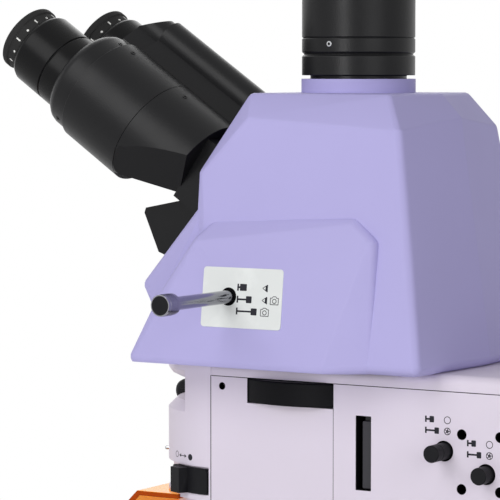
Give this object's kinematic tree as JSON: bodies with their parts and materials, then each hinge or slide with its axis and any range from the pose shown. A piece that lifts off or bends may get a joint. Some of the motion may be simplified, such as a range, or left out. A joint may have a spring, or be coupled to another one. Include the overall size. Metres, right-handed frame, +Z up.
{
  "type": "fluorescence microscope",
  "caption": "Upright trinocular microscope with a reflected-light fluorescence illuminator, filter turret, amber shield, mechanical stage, condenser and turning nosepiece.",
  "frame": {"origin": "centre of the box's footprint, on the table under the feet", "axes": "+X to the right of the person looking through the eyepieces, +Y away from that person, +Z up"},
  "size_m": [0.259, 0.4712, 0.654],
  "materials": {
    "arm_paint": "pale grey enamel, satin",
    "head_paint": "periwinkle enamel, fine orange peel, satin",
    "tube_black": "black enamel, satin",
    "eyepiece_black": "black anodised, satin",
    "ring_rubber": "soft black rubber",
    "knob_black": "black moulded, ribbed",
    "part_black": "black anodised, satin",
    "socket_black": "black moulded",
    "feet_rubber": "matt rubber",
    "steel": "fine turned",
    "chrome": "polished",
    "objective_metal": "satin chrome",
    "amber": "clear amber sheet",
    "lens_glass": "coated, polished",
    "emitter": "cast"
  },
  "bodies": {
    "stand": {"base_housing": "arm_paint", "base_plate": "part_black", "rubber_feet": "feet_rubber", "power_inlet": "socket_black", "field_lens": "lens_glass", "stand_column": "arm_paint", "nosepiece_mount": "steel", "nose_housing": "arm_paint", "turret_housing": "arm_paint", "illuminator_housing": "arm_paint", "top_cover": "arm_paint", "iris_diaphragms": "part_black", "collector_lens": "lens_glass", "uv_shield": "amber", "lamp_house": "arm_paint", "lamp_emitter": "emitter", "head_shell_right": "head_paint", "head_shell_left": "head_paint", "binocular_neck": "tube_black", "ocular_spindle": "steel", "camera_tube": "tube_black"},
    "power_switch": {"power_switch": "socket_black"},
    "brightness_knob": {"brightness_knob": "knob_black"},
    "field_lens_ring": {"field_lens_ring": "knob_black"},
    "coarse_focus": {"coarse_focus_knobs": "knob_black"},
    "fine_focus": {"fine_focus_knobs": "knob_black"},
    "tension_collar": {"tension_collar": "steel"},
    "stage_carrier": {"stage_carrier": "part_black"},
    "stage": {"stage_plate": "part_black"},
    "stage_y_knob": {"stage_y_knob": "knob_black"},
    "stage_x_knob": {"stage_x_knob": "knob_black"},
    "specimen_holder": {"specimen_holder": "part_black"},
    "specimen_clip": {"specimen_clip": "steel"},
    "condenser": {"condenser_carrier": "part_black", "condenser_body": "part_black", "condenser_lens": "lens_glass"},
    "condenser_knob": {"condenser_knob": "knob_black"},
    "aperture_lever": {"aperture_lever": "steel"},
    "nosepiece": {"nosepiece_turret": "part_black", "objective_scan": "objective_metal", "objective_low": "objective_metal", "objective_high": "objective_metal", "objective_oil": "objective_metal"},
    "head_lock_knob": {"head_lock_knob": "knob_black"},
    "shutter_slider": {"shutter_slider": "part_black"},
    "filter_turret": {"filter_turret": "part_black", "filter_cubes": "part_black"},
    "filter_slider": {"filter_slider": "part_black"},
    "field_stop_rod": {"field_stop_rod": "knob_black"},
    "aperture_stop_rod": {"aperture_stop_rod": "knob_black"},
    "splitter_rod": {"splitter_rod": "chrome", "splitter_prism": "lens_glass"},
    "ocular_right": {"ocular_housing_right": "tube_black", "front_cap_right": "tube_black", "eyepiece_right": "eyepiece_black"},
    "ocular_left": {"ocular_housing_left": "tube_black", "front_cap_left": "tube_black", "eyepiece_left": "eyepiece_black"},
    "dioptre_right": {"dioptre_ring_right": "ring_rubber"},
    "dioptre_left": {"dioptre_ring_left": "ring_rubber"}
  },
  "joints": [
    {"name": "power_rocker", "type": "hinge", "parent": "stand", "child": "power_switch", "pos_m": [-0.1125, -0.13006, 0.03], "axis": [0, 0, 1], "range_deg": [0, 12]},
    {"name": "brightness_turn", "type": "hinge", "parent": "stand", "child": "brightness_knob", "pos_m": [0.0675, -0.13006, 0.03], "axis": [1, 0, 0], "range_deg": [0, 270]},
    {"name": "field_diaphragm_turn", "type": "hinge", "parent": "stand", "child": "field_lens_ring", "pos_m": [-0.0245, -0.05856, 0.056], "axis": [0, 0, 1], "range_deg": [0, 90]},
    {"name": "focus_slide", "type": "slide", "parent": "stand", "child": "stage_carrier", "axis": [0, 0, 1], "range_m": [-0.02, 0.001]},
    {"name": "coarse_focus_turn", "type": "hinge", "parent": "stand", "child": "coarse_focus", "pos_m": [-0.0245, 0.08994, 0.095], "axis": [1, 0, 0], "range_deg": [-12, 192]},
    {"name": "fine_focus_turn", "type": "hinge", "parent": "stand", "child": "fine_focus", "pos_m": [-0.0245, 0.08994, 0.095], "axis": [1, 0, 0], "continuous": true},
    {"name": "tension_turn", "type": "hinge", "parent": "stand", "child": "tension_collar", "pos_m": [-0.0245, 0.08994, 0.095], "axis": [1, 0, 0], "range_deg": [0, 60]},
    {"name": "condenser_slide", "type": "slide", "parent": "stage_carrier", "child": "condenser", "axis": [0, 0, 1], "range_m": [-0.014, 0]},
    {"name": "condenser_turn", "type": "hinge", "parent": "stage_carrier", "child": "condenser_knob", "pos_m": [-0.0475, 0.03194, 0.117], "axis": [1, 0, 0], "range_deg": [-122, 0]},
    {"name": "aperture_turn", "type": "hinge", "parent": "condenser", "child": "aperture_lever", "pos_m": [-0.0245, -0.05856, 0.105], "axis": [0, 0, 1], "range_deg": [-60, 0]},
    {"name": "stage_y_slide", "type": "slide", "parent": "stage_carrier", "child": "stage", "axis": [0, 1, 0], "range_m": [-0.025, 0.025]},
    {"name": "stage_y_turn", "type": "hinge", "parent": "stage", "child": "stage_y_knob", "pos_m": [0.0615, -0.03506, 0.1503], "axis": [0, 0, 1], "range_deg": [-301, 301]},
    {"name": "stage_x_slide", "type": "slide", "parent": "stage", "child": "specimen_holder", "axis": [1, 0, 0], "range_m": [-0.038, 0.038]},
    {"name": "stage_x_turn", "type": "hinge", "parent": "stage", "child": "stage_x_knob", "pos_m": [0.0615, -0.03506, 0.1503], "axis": [0, 0, 1], "range_deg": [-457, 457]},
    {"name": "clip_swing", "type": "hinge", "parent": "specimen_holder", "child": "specimen_clip", "pos_m": [0.0238, -0.02256, 0.174], "axis": [0, 0, 1], "range_deg": [0, 30], "stiffness_Nm_per_rad": 0.04, "springref_deg": -5.73},
    {"name": "nosepiece_turn", "type": "hinge", "parent": "stand", "child": "nosepiece", "pos_m": [-0.0245, -0.05856, 0.36979], "axis": [0, -0.2504, 0.9681], "continuous": true},
    {"name": "head_lock_turn", "type": "hinge", "parent": "stand", "child": "head_lock_knob", "pos_m": [-0.0245, -0.11006, 0.379], "axis": [0, 1, 0], "range_deg": [-180, 0]},
    {"name": "shutter_swing", "type": "hinge", "parent": "stand", "child": "shutter_slider", "pos_m": [-0.0245, -0.08146, 0.33], "axis": [0, 0, 1], "range_deg": [-30, 0]},
    {"name": "filter_turret_turn", "type": "hinge", "parent": "stand", "child": "filter_turret", "pos_m": [-0.0245, -0.02856, 0.382], "axis": [0, 0, 1], "continuous": true},
    {"name": "filter_slider_slide", "type": "slide", "parent": "stand", "child": "filter_slider", "axis": [1, 0, 0], "range_m": [-0.025, 0.025]},
    {"name": "field_stop_slide", "type": "slide", "parent": "stand", "child": "field_stop_rod", "axis": [1, 0, 0], "range_m": [0, 0.015]},
    {"name": "aperture_stop_slide", "type": "slide", "parent": "stand", "child": "aperture_stop_rod", "axis": [1, 0, 0], "range_m": [0, 0.015]},
    {"name": "splitter_slide", "type": "slide", "parent": "stand", "child": "splitter_rod", "axis": [1, 0, 0], "range_m": [-0.05, 0]},
    {"name": "ocular_right_swing", "type": "hinge", "parent": "stand", "child": "ocular_right", "pos_m": [-0.0245, -0.16566, 0.5534], "axis": [0, -0.8251, 0.565], "range_deg": [-48, 0]},
    {"name": "ocular_left_swing", "type": "hinge", "parent": "stand", "child": "ocular_left", "pos_m": [-0.0245, -0.16566, 0.5534], "axis": [0, -0.8251, 0.565], "range_deg": [0, 48]},
    {"name": "dioptre_right_turn", "type": "hinge", "parent": "ocular_right", "child": "dioptre_right", "pos_m": [0.0145, -0.22342, 0.59295], "axis": [0, -0.8251, 0.565], "range_deg": [-90, 90]},
    {"name": "dioptre_left_turn", "type": "hinge", "parent": "ocular_left", "child": "dioptre_left", "pos_m": [-0.0635, -0.22342, 0.59295], "axis": [0, -0.8251, 0.565], "range_deg": [-90, 90]}
  ],
  "couplings": [
    {"joint": "coarse_focus_turn", "follows": "focus_slide", "rad_per_m": -166.7},
    {"joint": "condenser_turn", "follows": "condenser_slide", "rad_per_m": 150},
    {"joint": "stage_y_turn", "follows": "stage_y_slide", "rad_per_m": 209.4},
    {"joint": "stage_x_turn", "follows": "stage_x_slide", "rad_per_m": 209.4},
    {"joint": "ocular_left_swing", "follows": "ocular_right_swing", "ratio": -1}
  ]
}
